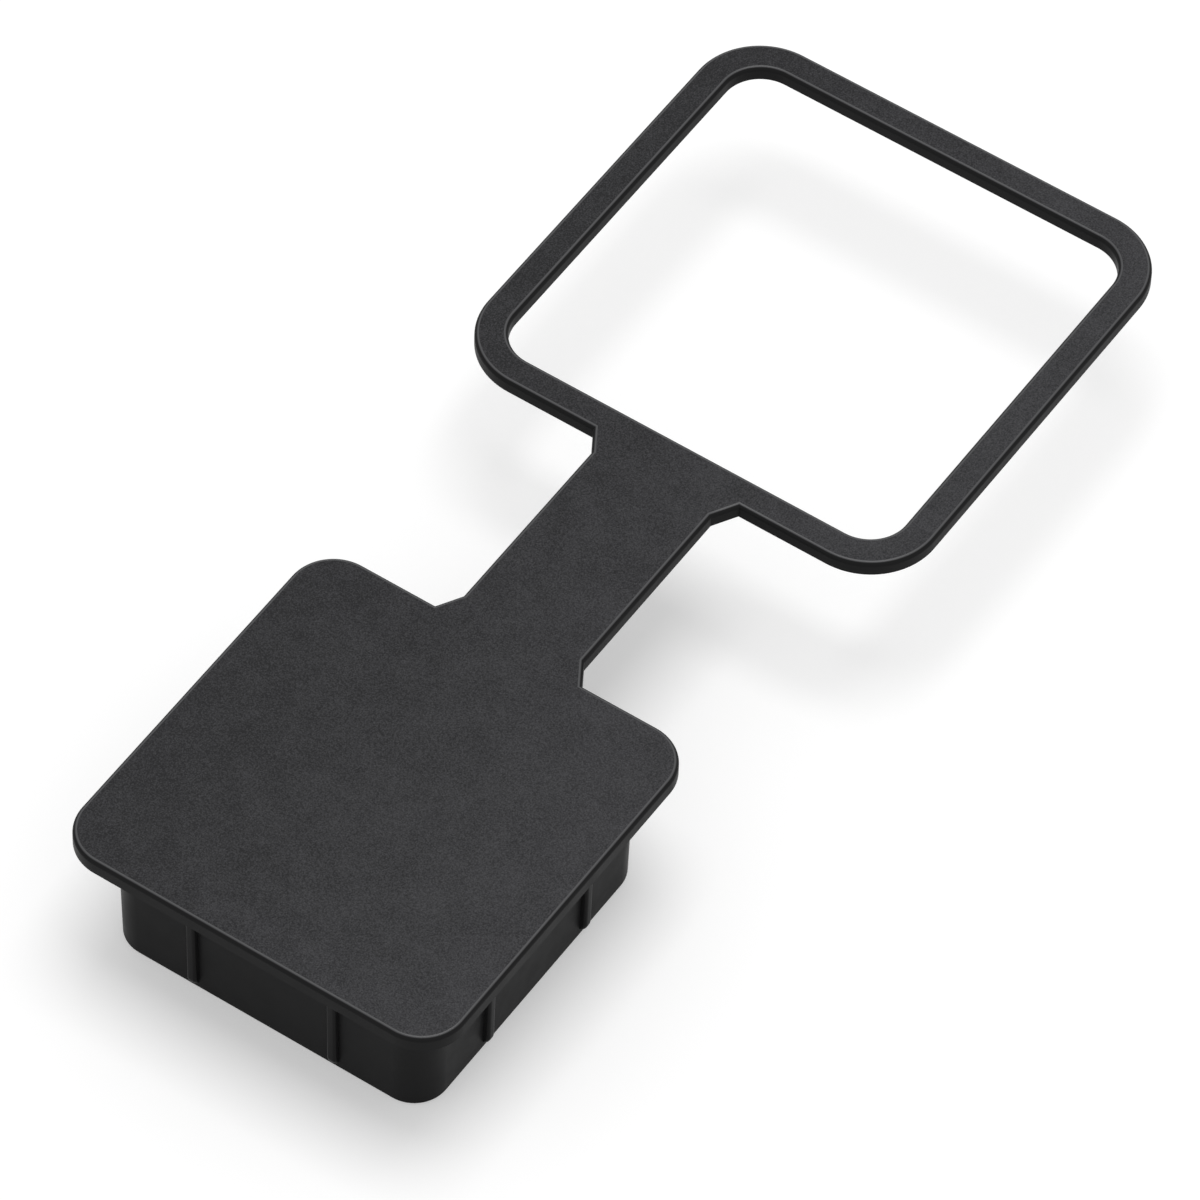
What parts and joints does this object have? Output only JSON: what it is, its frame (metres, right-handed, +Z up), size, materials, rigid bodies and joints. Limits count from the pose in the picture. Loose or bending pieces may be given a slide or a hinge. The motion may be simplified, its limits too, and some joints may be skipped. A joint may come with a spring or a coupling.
{
  "type": "hitch receiver cover",
  "caption": "Moulded rubber cover for a square tow hitch receiver: a flanged, ribbed hollow plug joined by a flat strap to a square tether loop.",
  "frame": {"origin": "centre of the plug's lower rim, on the surface that the cover stands on", "axes": "+Z up from the plug's rim to the flange, +Y from the plug along the strap to the loop, +X across the strap"},
  "size_m": [0.0718, 0.1686, 0.0227],
  "materials": {
    "black_rubber": "matte black moulded rubber, fine leather-like grain on the top face, smooth sides and plug"
  },
  "bodies": {
    "root": {"receiver_cover": "black_rubber"}
  },
  "joints": []
}
